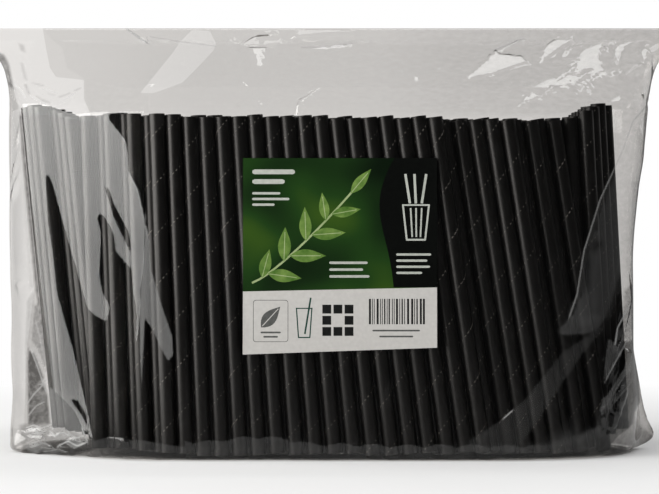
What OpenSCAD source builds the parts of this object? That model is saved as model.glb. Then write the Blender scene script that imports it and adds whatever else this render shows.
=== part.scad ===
// Clear film bag of black paper drinking straws, standing on its bottom fold.
// X runs along the width of the bag, Y from its front to its back, Z up.
// The origin is in the middle of the foot, on the surface that the bag stands on.
// Millimetres.

/* [Straws] */
// Outside diameter of a straw
straw_d = 7; // [6:0.1:7]
// Thickness of the wound paper wall
straw_wall = 0.45; // [0.3:0.05:0.8]
// Length of a straw
straw_len = 150; // [120:1:150]
// Height of the lowest straw ends above the surface the bag stands on
straw_lift = 1.6; // [1.6:0.1:2.4]
// How unevenly the straw ends stand
straw_uneven = 1.5; // [0:0.1:1.8]

/* [Bag] */
// Reach of the filled part to the left of the middle
bag_left = 147.5; // [146:0.5:152]
// Reach of the filled part to the right of the middle
bag_right = 140.5; // [139:0.5:146]
// Depth of the filled part, from front to back
bag_depth = 102.4; // [102.4:0.2:108]
// Height of the bag to the top of its seal
bag_h = 196; // [190:1:210]
// Width of the flat seal at the top
seal_w = 330; // [322:1:340]
// Height of the flat seal at the top
seal_h = 5.5; // [4:0.5:10]
// Thickness of the film
film_t = 0.2; // [0.1:0.05:0.3]

/* [Label] */
// Width of the label
label_w = 85.5; // [60:0.5:90]
// Height of the label at its left edge
label_h = 86.5; // [60:0.5:90]
// How far the lower edge rises from left to right
label_rise = 3; // [0:0.5:4]
// Middle of the label, left to right
label_x = 4.6; // [0:0.1:8]
// Height of the label's upper edge
label_top = 133.3; // [120:0.1:140]
// Thickness of the label
label_t = 0.15; // [0.1:0.05:0.3]

/* [Hidden] */

film_colour = [0.80, 0.80, 0.78, 0.35];
label_colour = [0.16, 0.36, 0.17];
straw_colour = [0.075, 0.07, 0.07];

B = bag_depth / 2;          // half depth of the filled part
end_lf = 68;                // length of the left end's slanting front
end_lb = 34;                // length of the left end's round back
end_r = 78;                 // length of the rounded, slimmer right end
end_pow = 2.4;              // fullness of the rounded ends, 2 is an ellipse
slant_pow = 1.2;            // fullness of the slanting front, 1 is straight
foot_r = 3;                 // round of the film into the foot
clear = 0.3;                // least room between a straw and the film

function clamp01(t) = min(1, max(0, t));
function ease(a, b, x) = let(t = clamp01((x - a) / (b - a))) t * t * (3 - 2 * t);
// A repeatable scatter between 0 and 1
function scatter(n) = let(v = sin(n * 127.1 + 31.7) * 437.585) v - floor(v);

// ---- cross-section of the bag ----
// How far out the bag reaches at t, from 0 where an end starts to 1 at its tip
function fall(t, pw) = t <= 0 ? 1 : t >= 1 ? 0 : pow(1 - pow(t, pw), 1 / pw);
// Half depth at x, in front of the middle or behind it
function half_at(x, front) =
    x > bag_right - end_r ? B * fall((x - bag_right + end_r) / end_r, end_pow)
    : front ? B * fall((end_lf - bag_left - x) / end_lf, slant_pow)
    : B * fall((end_lb - bag_left - x) / end_lb, end_pow);
// The same ends as points, k runs from 0 at the tip to end_steps where the flat starts
end_steps = 9;
function tip(k, pw) = let(a = 90 * k / end_steps) [pow(cos(a), 2 / pw), pow(sin(a), 2 / pw)];
// Outline at height z that reaches from -l to r and is b deep each way
function section(l, r, b, z) = concat(
    [for (k = [end_steps:-1:0]) let(p = tip(k, end_pow)) [r - end_r + end_r * p[0], -b * p[1], z]],
    [for (k = [1:end_steps]) let(p = tip(k, end_pow)) [r - end_r + end_r * p[0], b * p[1], z]],
    [for (k = [end_steps:-1:0]) let(p = tip(k, end_pow)) [end_lb - l - end_lb * p[0], b * p[1], z]],
    [for (k = [1:end_steps]) let(p = tip(k, slant_pow)) [end_lf - l - end_lf * p[0], -b * p[1], z]]);

// ---- the outside of the film, ring by ring ----
// Each ring: height, reach to the left, reach to the right, half depth
shoulder = straw_lift + straw_len + 2.5;    // where the film leaves the straws
seal_z = bag_h - seal_h;                    // where the two sides meet
function up(f) = shoulder + 3 + f * (seal_z - shoulder - 3);
s2 = seal_w / 2;
rings = [
    [0,            bag_left - 5,   bag_right - 5,   B - foot_r],
    [foot_r * 0.3, bag_left - 1.9, bag_right - 1.9, B - 0.7],
    [foot_r,       bag_left - 0.9, bag_right - 0.1, B],
    [22,           bag_left - 0.5, bag_right + 1.4, B],
    [50,           bag_left,       bag_right,       B],
    [86,           bag_left + 0.3, bag_right,       B],
    [120,          bag_left + 0.5, bag_right + 2.5, B],
    [136,          bag_left + 0.7, bag_right + 5,   B],
    [shoulder,     bag_left + 0.7, bag_right + 6.4, B],
    [shoulder + 3, bag_left + 0.9, bag_right + 6.8, B - 2.2],
    [up(0.25),     bag_left + 1.5, bag_right + 8,   0.77 * B],
    [up(0.55),     bag_left + 3.5, bag_right + 10.5, 0.47 * B],
    [up(0.87),     (bag_left + s2) / 2 + 1, (bag_right + 10 + s2) / 2, 0.145 * B],
    [seal_z,       s2 - 2,         s2 - 2,          0.5],
    [bag_h,        s2,             s2,              0.5]];
// The inside follows the outside at the film's thickness and ends below the seal
void_rings = [for (k = [0:12]) let(g = rings[k], t = film_t * (k > 8 ? 1.5 : 1))
    [k == 0 ? film_t : k == 1 ? g[0] + film_t * 0.5 : g[0], g[1] - t, g[2] - t, g[3] - t]];
void_top = [[seal_z - 1.6, s2 - 4, s2 - 4, 0.9]];

module loft(rows) {
    n = 4 * end_steps + 2;
    m = len(rows);
    pts = [for (g = rows) each section(g[1], g[2], g[3], g[0])];
    polyhedron(points = pts, faces = concat(
        [[for (i = [0:n - 1]) i]],
        [[for (i = [n - 1:-1:0]) (m - 1) * n + i]],
        [for (j = [0:m - 2], i = [0:n - 1]) [j * n + i, (j + 1) * n + i, (j + 1) * n + (i + 1) % n]],
        [for (j = [0:m - 2], i = [0:n - 1]) [j * n + i, (j + 1) * n + (i + 1) % n, j * n + (i + 1) % n]]));
}

// The corner of the bottom seal stands out at the right as a flat ear of film
ear = [[-12, 0.4], [-5, 0.4], [2, 1], [6.5, 2.6], [9.3, 5], [9.6, 7.2], [8.2, 10], [5.4, 14],
    [3.4, 19], [2.2, 25], [1.2, 36], [-0.5, 47], [-6, 47], [-12, 30]];

module bag_film() color(film_colour)
    difference() {
        union() {
            loft(rings);
            translate([bag_right, 0.35, 0]) rotate([90, 0, 0])
                linear_extrude(0.7) polygon(ear);
        }
        loft(concat(void_rings, void_top));
    }

module label() color(label_colour)
    translate([label_x, -B, label_top]) rotate([90, 0, 0])
        linear_extrude(label_t) polygon([
            [-label_w / 2, 0], [-label_w / 2, -label_h],
            [label_w / 2, label_rise - label_h], [label_w / 2, 0]]);

// ---- the straws ----
// The rows nest in each other, apart from two places where the lean changes.
// Layers, front to back: number of rows, spacing at the top, lean on the left,
// change of the lean, and where the change begins and ends
layers = [
    [4, 7.25, 2.0,  6.8, -85,  70],
    [8, 7.55, 5.6, -2.6, -130, 60],
    [4, 7.30, 3.2,  2.2, -60,  120]];
nest = 6.12;                // from row to row inside a layer
step = 7.08;                // from layer to layer
row_total = layers[0][0] + layers[1][0] + layers[2][0];
row_span = (row_total - 3) * nest + 2 * step;
function layer_of(r) = r < layers[0][0] ? 0 : r < layers[0][0] + layers[1][0] ? 1 : 2;
function row_y(r) = r * nest + layer_of(r) * (step - nest) - row_span / 2;
function first_of(g) = g == 0 ? 0 : g == 1 ? layers[0][0] : layers[0][0] + layers[1][0];
// Lean of the straw whose upper end is at x, in degrees
function lean(g, x) = let(a = layers[g]) a[2] + a[3] * ease(a[4], a[5], x);
reach = 150;                // length that the spacing is worked out over
// A straw fits where both its ends are inside the film with room to spare
function inside(x, y) = let(m = straw_d / 2 + film_t + clear)
    len([for (a = [0:15:345])
        if (abs(y + m * sin(a)) > half_at(x + m * cos(a), y + m * sin(a) < 0)) 1]) == 0;
function tops(r) = let(g = layer_of(r), p = layers[g][1], off = (r - first_of(g)) % 2 * p / 2 - 4)
    [for (i = [-25:25]) let(x = i * p + off, xb = x + reach * sin(lean(g, x)))
        if (inside(x, row_y(r)) && inside(xb, row_y(r))) x];
// The bottom corners of the bag are round, so the outermost straws stand higher
function rise(x) = 1.5 * ease(-72, -96, x) + 6.5 * ease(-112, -138, x) + 8 * ease(106, 126, x);
function slide(r, i, x) = rise(x) + straw_uneven * pow(scatter(r * 61 + i * 7.3), 1.6);

module straw() difference() {
    cylinder(h = straw_len, d = straw_d, $fn = 48);
    translate([0, 0, -1]) cylinder(h = straw_len + 2, d = straw_d - 2 * straw_wall, $fn = 48);
}

module straw_row(r) {
    g = layer_of(r);
    xs = tops(r);
    for (i = [0:len(xs) - 1]) {
        a = lean(g, xs[i]);
        translate([xs[i] + reach * sin(a), row_y(r), straw_lift + straw_d / 2 * sin(a)])
            rotate([0, -a, 0]) translate([0, 0, slide(r, i, xs[i])]) straw();
    }
}

module straws_row_01() color(straw_colour) straw_row(0);
module straws_row_02() color(straw_colour) straw_row(1);
module straws_row_03() color(straw_colour) straw_row(2);
module straws_row_04() color(straw_colour) straw_row(3);
module straws_row_05() color(straw_colour) straw_row(4);
module straws_row_06() color(straw_colour) straw_row(5);
module straws_row_07() color(straw_colour) straw_row(6);
module straws_row_08() color(straw_colour) straw_row(7);
module straws_row_09() color(straw_colour) straw_row(8);
module straws_row_10() color(straw_colour) straw_row(9);
module straws_row_11() color(straw_colour) straw_row(10);
module straws_row_12() color(straw_colour) straw_row(11);
module straws_row_13() color(straw_colour) straw_row(12);
module straws_row_14() color(straw_colour) straw_row(13);
module straws_row_15() color(straw_colour) straw_row(14);
module straws_row_16() color(straw_colour) straw_row(15);

echo(straws = [for (r = [0:row_total - 1]) len(tops(r))]);

bag_film();
label();
straws_row_01();
straws_row_02();
straws_row_03();
straws_row_04();
straws_row_05();
straws_row_06();
straws_row_07();
straws_row_08();
straws_row_09();
straws_row_10();
straws_row_11();
straws_row_12();
straws_row_13();
straws_row_14();
straws_row_15();
straws_row_16();
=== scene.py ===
"""Clear film bag packed with black paper drinking straws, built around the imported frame."""
import math

import bpy
import numpy as np
from mathutils.geometry import delaunay_2d_cdt
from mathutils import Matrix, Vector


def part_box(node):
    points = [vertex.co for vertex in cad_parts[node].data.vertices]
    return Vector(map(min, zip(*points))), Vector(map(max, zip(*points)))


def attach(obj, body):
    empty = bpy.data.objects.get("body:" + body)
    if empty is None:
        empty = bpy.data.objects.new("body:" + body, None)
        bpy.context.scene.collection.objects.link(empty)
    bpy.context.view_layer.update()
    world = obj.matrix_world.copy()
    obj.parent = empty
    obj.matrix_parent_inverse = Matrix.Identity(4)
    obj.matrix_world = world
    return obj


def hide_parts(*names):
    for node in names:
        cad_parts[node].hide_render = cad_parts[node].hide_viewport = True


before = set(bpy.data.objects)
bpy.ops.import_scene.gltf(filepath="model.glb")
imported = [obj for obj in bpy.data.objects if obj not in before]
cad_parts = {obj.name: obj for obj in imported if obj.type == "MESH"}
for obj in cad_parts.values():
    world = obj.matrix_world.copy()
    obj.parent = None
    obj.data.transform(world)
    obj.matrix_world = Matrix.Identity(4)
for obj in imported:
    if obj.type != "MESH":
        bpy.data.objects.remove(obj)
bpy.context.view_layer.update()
MM = 0.001
scene = bpy.context.scene

# ---------------------------------------------------------------- camera
CAM_Z = 94.1          # mm
CAM_D = 900.0         # mm from the camera to the front of the bag
FRONT = 51.2          # mm from the middle of the bag to its front
PX = 0.441            # mm a pixel on the front of the bag
CAM = np.array([0.0, -(CAM_D + FRONT), CAM_Z])
cam_data = bpy.data.cameras.new("camera")
cam = bpy.data.objects.new("camera", cam_data)
scene.collection.objects.link(cam)
cam.location = (CAM * MM).tolist()
cam.rotation_euler = (math.radians(90), 0, 0)
cam_data.sensor_width = 36.0
cam_data.lens = 36.0 * CAM_D / (659 * PX)
cam_data.clip_start = 0.05
cam_data.clip_end = 60
scene.camera = cam


def to_px(p):
    """Picture coordinates (659 x 494) of points in mm."""
    d = p[..., 1] - CAM[1]
    k = CAM_D / PX / d
    return 329.5 + p[..., 0] * k, 247.0 - (p[..., 2] - CAM_Z) * k


# ---------------------------------------------------------------- small helpers
def ease(a, b, x):
    t = np.clip((np.asarray(x, float) - a) / (b - a), 0, 1)
    return t * t * (3 - 2 * t)


def scatter(n):
    v = math.sin(math.radians(n * 127.1 + 31.7)) * 437.585
    return v - math.floor(v)


def hash2(ix, iy, seed):
    v = np.sin(ix * 127.1 + iy * 311.7 + seed * 74.7) * 43758.5453
    return v - np.floor(v)


def noise2(x, y, seed):
    """Smooth value noise from -1 to 1."""
    x0, y0 = np.floor(x), np.floor(y)
    fx, fy = x - x0, y - y0
    fx, fy = fx * fx * fx * (fx * (fx * 6 - 15) + 10), fy * fy * fy * (fy * (fy * 6 - 15) + 10)
    a, b = hash2(x0, y0, seed), hash2(x0 + 1, y0, seed)
    c, d = hash2(x0, y0 + 1, seed), hash2(x0 + 1, y0 + 1, seed)
    return 2 * (a + (b - a) * fx + (c - a) * fy + (a - b - c + d) * fx * fy) - 1


def new_mesh(name, verts, faces, mats, index=None, smooth=True):
    me = bpy.data.meshes.new(name)
    verts = np.asarray(verts, float)
    faces = np.asarray(faces, np.int32)
    n = faces.shape[1]
    me.vertices.add(len(verts))
    me.vertices.foreach_set("co", verts.ravel())
    me.loops.add(faces.size)
    me.loops.foreach_set("vertex_index", faces.ravel())
    me.polygons.add(len(faces))
    me.polygons.foreach_set("loop_start", np.arange(0, faces.size, n, dtype=np.int32))
    me.polygons.foreach_set("loop_total", np.full(len(faces), n, np.int32))
    for m in mats:
        me.materials.append(m)
    if index is not None:
        me.polygons.foreach_set("material_index", np.asarray(index, np.int32))
    me.polygons.foreach_set("use_smooth", np.full(len(faces), smooth))
    me.update(calc_edges=True)
    ob = bpy.data.objects.new(name, me)
    scene.collection.objects.link(ob)
    return ob


# ---------------------------------------------------------------- materials
def material(name):
    m = bpy.data.materials.new(name)
    m.use_nodes = True
    nt = m.node_tree
    nt.nodes.clear()
    out = nt.nodes.new("ShaderNodeOutputMaterial")
    return m, nt, out


def ramp(nt, fac, stops):
    n = nt.nodes.new("ShaderNodeValToRGB")
    el = n.color_ramp.elements
    while len(el) < len(stops):
        el.new(0.5)
    for e, (p, c) in zip(el, stops):
        e.position = p
        e.color = (*c, 1) if len(c) == 3 else c
    nt.links.new(fac, n.inputs["Fac"])
    return n.outputs["Color"]


def noise(nt, coord, scale, detail=3.0, rough=0.5):
    n = nt.nodes.new("ShaderNodeTexNoise")
    n.inputs["Scale"].default_value = scale
    n.inputs["Detail"].default_value = detail
    n.inputs["Roughness"].default_value = rough
    if coord is not None:
        nt.links.new(coord, n.inputs["Vector"])
    return n.outputs["Fac"]


def mapping(nt, coord, scale=(1, 1, 1), rot=(0, 0, 0)):
    n = nt.nodes.new("ShaderNodeMapping")
    n.inputs["Scale"].default_value = scale
    n.inputs["Rotation"].default_value = rot
    nt.links.new(coord, n.inputs["Vector"])
    return n.outputs["Vector"]


def bump(nt, height, strength, distance):
    n = nt.nodes.new("ShaderNodeBump")
    n.inputs["Strength"].default_value = strength
    n.inputs["Distance"].default_value = distance
    nt.links.new(height, n.inputs["Height"])
    return n.outputs["Normal"]


def math_node(nt, op, a, b=None, clamp=False):
    n = nt.nodes.new("ShaderNodeMath")
    n.operation = op
    n.use_clamp = clamp
    for i, v in enumerate((a, b)):
        if v is None:
            continue
        if isinstance(v, (int, float)):
            n.inputs[i].default_value = v
        else:
            nt.links.new(v, n.inputs[i])
    return n.outputs[0]


def film_material():
    m, nt, out = material("clear_film")
    tc = nt.nodes.new("ShaderNodeTexCoord").outputs["Object"]
    ripple = noise(nt, mapping(nt, tc, (1, 1, 0.6)), 90.0, 2.0)
    nrm = bump(nt, ripple, 0.12, 0.0006)
    clear = nt.nodes.new("ShaderNodeBsdfTransparent")
    # film doubled over passes less light; painted shade, the dark slits and dark corners, rides on the same attribute
    fo = nt.nodes.new("ShaderNodeAttribute")
    fo.attribute_name = "folded_and_shade"
    layers = noise(nt, mapping(nt, tc, (1, 1, 1.8)), 260.0, 3.0, 0.6)
    fold_and_shade_amount = math_node(nt, "MULTIPLY", fo.outputs["Fac"], ramp(nt, layers, [(0.32, (0.72,) * 3), (0.66, (1.0,) * 3)]))
    # where the two faces of the header stick together the film passes more light, and the same patches hold a painted
    # highlight standing in for a reflection
    cl = nt.nodes.new("ShaderNodeAttribute")
    cl.attribute_name = "clinging_and_highlight"
    cling_and_highlight = ramp(nt, math_node(nt, "MULTIPLY_ADD", cl.outputs["Fac"], 0.1), [(0.0, (0.838, 0.825, 0.812)), (1.0, (0.975, 0.965, 0.955))])
    cling_and_highlight.node.inputs["Fac"].links[0].from_node.inputs[2].default_value = 0.5
    cling_and_highlight.node.color_ramp.elements[0].position = 0.45
    cling_and_highlight.node.color_ramp.elements[1].position = 0.55
    dark = nt.nodes.new("ShaderNodeMix")
    dark.data_type = "RGBA"
    dark.blend_type = "MULTIPLY"
    dark.inputs["Factor"].default_value = 1.0
    nt.links.new(cling_and_highlight, dark.inputs["A"])
    nt.links.new(ramp(nt, math_node(nt, "MULTIPLY", fold_and_shade_amount, 0.5),
                      [(0.0, (1.0, 1.0, 1.0)), (0.5, (0.19, 0.187, 0.183)), (1.0, (0.060, 0.059, 0.056))]), dark.inputs["B"])
    nt.links.new(dark.outputs["Result"], clear.inputs["Color"])
    haze = nt.nodes.new("ShaderNodeBsdfDiffuse")
    haze.inputs["Color"].default_value = (0.36, 0.36, 0.355, 1)
    gloss = nt.nodes.new("ShaderNodeBsdfGlossy")
    gloss.inputs["Color"].default_value = (0.96, 0.96, 0.955, 1)
    gloss.inputs["Roughness"].default_value = 0.055
    nt.links.new(nrm, gloss.inputs["Normal"])
    # faint scuffs, which scatter a little light
    scuff = noise(nt, mapping(nt, tc, (1, 1, 0.35), (0, 0.5, 0)), 150.0, 4.0, 0.65)
    body = nt.nodes.new("ShaderNodeMixShader")
    # crease whitening, partly a painted highlight along the creases
    at = nt.nodes.new("ShaderNodeAttribute")
    at.attribute_name = "whitened_and_glint"
    # painted reflections: more haze inside the sheen patches, on top of the faint scuffs
    mk, ms = nt.nodes.new("ShaderNodeAttribute"), nt.nodes.new("ShaderNodeAttribute")
    mk.attribute_name, ms.attribute_name = "sheen_patch", "sheen_patch_amount"
    zone = math_node(nt, "MULTIPLY_ADD", mk.outputs["Fac"], 0.7, True)
    zone.node.inputs[2].default_value = 0.5
    amount = math_node(nt, "MULTIPLY_ADD", zone, ms.outputs["Fac"])
    nt.links.new(ramp(nt, scuff, [(0.0, (0.001,) * 3), (0.60, (0.0015,) * 3), (0.78, (0.02,) * 3)]), amount.node.inputs[2])
    ld = nt.nodes.new("ShaderNodeAttribute")
    ld.attribute_name = "line_distance"
    across = math_node(nt, "ABSOLUTE", ld.outputs["Fac"], None)
    thin = math_node(nt, "MULTIPLY_ADD", across, -1.0, True)
    thin.node.inputs[2].default_value = 1.3
    nt.links.new(math_node(nt, "ADD", amount, math_node(nt, "MULTIPLY", thin, at.outputs["Fac"]), True), body.inputs[0])
    nt.links.new(clear.outputs[0], body.inputs[1])
    nt.links.new(haze.outputs[0], body.inputs[2])
    # reflection that grows towards grazing angles, the same on both sides of the film
    lw = nt.nodes.new("ShaderNodeLayerWeight")
    lw.inputs["Blend"].default_value = 0.5
    p5 = math_node(nt, "POWER", lw.outputs["Facing"], 5.0)
    fac = math_node(nt, "MULTIPLY_ADD", p5, 0.9, True)
    fac.node.inputs[2].default_value = 0.050
    # painted shade: inside these outlines the film mirrors next to nothing of the window light
    fl = nt.nodes.new("ShaderNodeAttribute")
    fl.attribute_name = "reflection_cut"
    reflection_cut_amount = math_node(nt, "MULTIPLY_ADD", fl.outputs["Fac"], 0.9, True)
    reflection_cut_amount.node.inputs[2].default_value = 0.5
    keep = math_node(nt, "MULTIPLY_ADD", reflection_cut_amount, -0.985, True)
    keep.node.inputs[2].default_value = 1.0
    fac = math_node(nt, "MULTIPLY", fac, keep)
    # painted shade: the film mirrors a little less low down at the left
    du = nt.nodes.new("ShaderNodeAttribute")
    du.attribute_name = "reflection_fade"
    rest = math_node(nt, "MULTIPLY_ADD", du.outputs["Fac"], -1.0, True)
    rest.node.inputs[2].default_value = 1.0
    fac = math_node(nt, "MULTIPLY", fac, rest)
    mix = nt.nodes.new("ShaderNodeMixShader")
    nt.links.new(fac, mix.inputs[0])
    nt.links.new(body.outputs[0], mix.inputs[1])
    nt.links.new(gloss.outputs[0], mix.inputs[2])
    nt.links.new(mix.outputs[0], out.inputs["Surface"])
    return m


def straw_material(name, dark, light, rough0, rough1, bump_strength=0.25):
    m, nt, out = material(name)
    tc = nt.nodes.new("ShaderNodeTexCoord").outputs["Object"]
    fibre = noise(nt, mapping(nt, tc, (1, 1, 0.3)), 520.0, 4.0, 0.6)
    patch = noise(nt, tc, 120.0, 3.0)
    pr = nt.nodes.new("ShaderNodeBsdfPrincipled")
    col = ramp(nt, fibre, [(0.30, dark), (0.72, light)])
    nt.links.new(col, pr.inputs["Base Color"])
    rr = ramp(nt, patch, [(0.3, (rough0,) * 3), (0.7, (rough1,) * 3)])
    nt.links.new(rr, pr.inputs["Roughness"])
    pr.inputs["Specular IOR Level"].default_value = 0.5
    nt.links.new(bump(nt, fibre, bump_strength, 0.00005), pr.inputs["Normal"])
    nt.links.new(pr.outputs[0], out.inputs["Surface"])
    return m


MAT_FILM = film_material()
MAT_STRAW = straw_material("straw_paper", (0.0018, 0.0016, 0.0015), (0.0042, 0.0037, 0.0034), 0.32, 0.40)
# the seam's lighter colour is a painted highlight: its raised edge catching the light
MAT_SEAM_GLINT = straw_material("straw_seam_glint", (0.090, 0.084, 0.077), (0.200, 0.187, 0.172), 0.6, 0.75)
MAT_CUT = straw_material("straw_cut_end", (0.020, 0.018, 0.017), (0.045, 0.042, 0.040), 0.7, 0.85)
MAT_BORE = straw_material("straw_inside", (0.0075, 0.007, 0.0065), (0.014, 0.013, 0.012), 0.6, 0.75)

# ---------------------------------------------------------------- straws
# The same rule that places the straws in the frame, row by row.
B, END_LF, END_LB, END_R, END_POW, SLANT_POW = 51.2, 68.0, 34.0, 78.0, 2.4, 1.2
LEFT, RIGHT = 147.5, 140.5
STRAW_L, STRAW_LIFT, UNEVEN = 150.0, 1.6, 1.5
LAYERS = ((4, 7.25, 2.0, 6.8, -85, 70), (8, 7.55, 5.6, -2.6, -130, 60), (4, 7.30, 3.2, 2.2, -60, 120))
NEST, STEP = 6.12, 7.08


def fall(t, pw):
    return 1.0 if t <= 0 else 0.0 if t >= 1 else (1 - t ** pw) ** (1 / pw)


def half_at(x, front):
    if x > RIGHT - END_R:
        return B * fall((x - RIGHT + END_R) / END_R, END_POW)
    if front:
        return B * fall((END_LF - LEFT - x) / END_LF, SLANT_POW)
    return B * fall((END_LB - LEFT - x) / END_LB, END_POW)


def inside(x, y, m=3.5 + 0.2 + 0.3):
    for a in range(0, 360, 15):
        c, s = math.cos(math.radians(a)), math.sin(math.radians(a))
        if abs(y + m * s) > half_at(x + m * c, y + m * s < 0):
            return False
    return True


def ease1(a, b, x):
    t = min(1.0, max(0.0, (x - a) / (b - a)))
    return t * t * (3 - 2 * t)


def straw_rows():
    rows = []
    firsts, total = [0, 4, 12], 16
    span = (total - 3) * NEST + 2 * STEP
    for r in range(total):
        g = 0 if r < 4 else 1 if r < 12 else 2
        n, p, a0, a1, e0, e1 = LAYERS[g]
        y = r * NEST + g * (STEP - NEST) - span / 2
        off = (r - firsts[g]) % 2 * p / 2 - 4
        row = []
        k = 0
        for i in range(-25, 26):
            x = i * p + off
            lean = a0 + a1 * ease1(e0, e1, x)
            xb = x + 150 * math.sin(math.radians(lean))
            if not (inside(x, y) and inside(xb, y)):
                continue
            rise = 1.5 * ease1(-72, -96, x) + 6.5 * ease1(-112, -138, x) + 8 * ease1(106, 126, x)
            s = rise + UNEVEN * scatter(r * 61 + k * 7.3) ** 1.6
            sa, ca = math.sin(math.radians(lean)), math.cos(math.radians(lean))
            row.append(((xb - s * sa, y, STRAW_LIFT + 3.5 * sa + s * ca), (-sa, 0.0, ca)))
            k += 1
        rows.append(row)
    return rows


ROWS = straw_rows()


def straw_row_mesh(r, row, rng):
    """All the straws of a row as one mesh: thin-walled tubes with eased ends, and their wound seams."""
    seg = 32
    ro, ri, e = 3.5, 3.05, 0.11
    prof = [(e, ro), (STRAW_L * 0.25, ro), (STRAW_L * 0.5, ro), (STRAW_L * 0.75, ro), (STRAW_L - e, ro),
            (STRAW_L, ro - e), (STRAW_L, ri + 0.08), (STRAW_L - 0.08, ri), (0.08, ri), (0.0, ri + 0.08), (0.0, ro - e)]
    n = len(prof)
    th = np.arange(seg) * 2 * math.pi / seg
    verts, faces, mat = [], [], []
    sharp = []
    base = 0
    last = len(ROWS) - 1
    for k, (p, d) in enumerate(row):
        d = np.array(d)
        e1 = np.array([d[2], 0.0, -d[0]])
        e2 = np.array([0.0, 1.0, 0.0])
        oval = rng.uniform(0.0, 0.007)
        turn = rng.uniform(0, math.pi)
        for s, rad in prof:
            rr = rad * (1 - oval + oval * np.cos(2 * (th - turn)))
            c = np.array(p) + d * s
            verts.append(c + np.outer(rr * np.cos(th), e1) + np.outer(rr * np.sin(th), e2))
        for j in range(n):
            a = base + j * seg + np.arange(seg)
            b = base + (j + 1) % n * seg + np.arange(seg)
            a2, b2 = np.roll(a, -1), np.roll(b, -1)
            faces.append(np.stack([a, a2, b2, b], 1))
            mat += [[0, 0, 0, 0, 2, 2, 2, 3, 2, 2, 2][j]] * seg
        base += n * seg
        # the wound seam: a low overlapping edge that climbs round the straw
        if r in (0, 1, last - 1, last) or k in (0, len(row) - 1) or (r in (2, 13) and (k < 3 or k > len(row) - 4)):
            pitch = 21.5 + rng.uniform(-0.5, 0.5)
            steps = int(STRAW_L / pitch * 14)
            s = np.linspace(0.3, STRAW_L - 0.3, steps)
            t0 = rng.uniform(0, 2 * math.pi)
            slope = pitch / (2 * math.pi * ro)
            ca = 1 / math.hypot(1, slope)
            ring = []
            for w, rad in ((-0.19, ro - 0.06), (-0.19, ro + 0.035), (0.16, ro + 0.045), (0.24, ro - 0.06)):
                ang = t0 + 2 * math.pi * s / pitch + w * slope * ca / ro
                ss = s - w * ca
                ring.append(np.array(p) + np.outer(ss, d) + np.outer(rad * np.cos(ang), e1) + np.outer(rad * np.sin(ang), e2))
            strip = np.stack(ring, 1).reshape(-1, 3)
            verts.append(strip)
            i = np.arange(steps - 1) * 4
            for q in range(4):
                a, b = base + i + q, base + i + (q + 1) % 4
                faces.append(np.stack([a, a + 4, b + 4, b], 1))
                mat += [1] * (steps - 1)
            faces.append(np.array([[base, base + 1, base + 2, base + 3]]))
            e0 = base + (steps - 1) * 4
            faces.append(np.array([[e0 + 3, e0 + 2, e0 + 1, e0]]))
            mat += [1, 1]
            base += steps * 4
    ob = new_mesh("straws_%02d" % (r + 1), np.concatenate(verts) * MM, np.concatenate(faces), [MAT_STRAW, MAT_SEAM_GLINT, MAT_CUT, MAT_BORE], mat)
    ob.data.set_sharp_from_angle(angle=math.radians(32))
    return ob


straw_objects = []
rng = np.random.default_rng(7)
for r, row in enumerate(ROWS):
    node = "straws_row_%02d" % (r + 1)
    ob = straw_row_mesh(r, row, rng)
    lo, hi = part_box(node)
    co = np.empty(len(ob.data.vertices) * 3)
    ob.data.vertices.foreach_get("co", co)
    co = co.reshape(-1, 3)
    off = max(np.abs(co.min(0) - np.array(lo)).max(), np.abs(co.max(0) - np.array(hi)).max()) * 1000
    if off > 0.25:
        print("row", r + 1, "is off its node by", round(off, 3), "mm")
    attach(ob, "root")
    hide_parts(node)
    straw_objects.append(ob)

# ---------------------------------------------------------------- film: base shape
S2 = 165.0
SHOULDER = STRAW_LIFT + STRAW_L + 2.5
SEAL = 190.5
TOP = 196.0


def up(f):
    return SHOULDER + 3 + f * (SEAL - SHOULDER - 3)


# height, reach to the left, reach to the right, half depth
RINGS = np.array([
    [0.00, LEFT - 5.0, RIGHT - 5.0, B - 3.0],
    [0.90, LEFT - 1.9, RIGHT - 1.9, B - 0.7],
    [3.00, LEFT - 0.9, RIGHT - 0.1, B],
    [22.0, LEFT - 0.5, RIGHT + 1.4, B],
    [50.0, LEFT, RIGHT, B],
    [86.0, LEFT + 0.3, RIGHT, B],
    [120.0, LEFT + 0.5, RIGHT + 2.5, B],
    [136.0, LEFT + 0.7, RIGHT + 5, B],
    [SHOULDER, LEFT + 0.7, RIGHT + 6.4, B],
    [SHOULDER + 3, LEFT + 0.9, RIGHT + 6.8, B - 2.0],
    [up(0.25), LEFT + 1.5, RIGHT + 8.0, 0.775 * B],
    [up(0.55), LEFT + 3.5, RIGHT + 10.5, 0.478 * B],
    [up(0.87), (LEFT + S2) / 2 + 1, (RIGHT + 10 + S2) / 2, 0.15 * B],
    [SEAL, S2 - 2, S2 - 2, 0.55],
    [TOP, S2, S2, 0.28]])


SHARP_Z = (155.8, up(0.25), SEAL)
DEPTH_TOP = np.array([[150.0, B], [155.8, B - 0.3], [up(0.25), 0.772 * B], [SEAL, 0.45], [TOP, 0.28]])


def half_depth(z):
    """Half depth of the bag: straight runs with a crease at the shoulder, above it and at the seal."""
    return np.where(z > 150, np.interp(z, DEPTH_TOP[:, 0], DEPTH_TOP[:, 1]), pchip(RINGS[:, 0], RINGS[:, 3], np.minimum(z, 150.0)))


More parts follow.
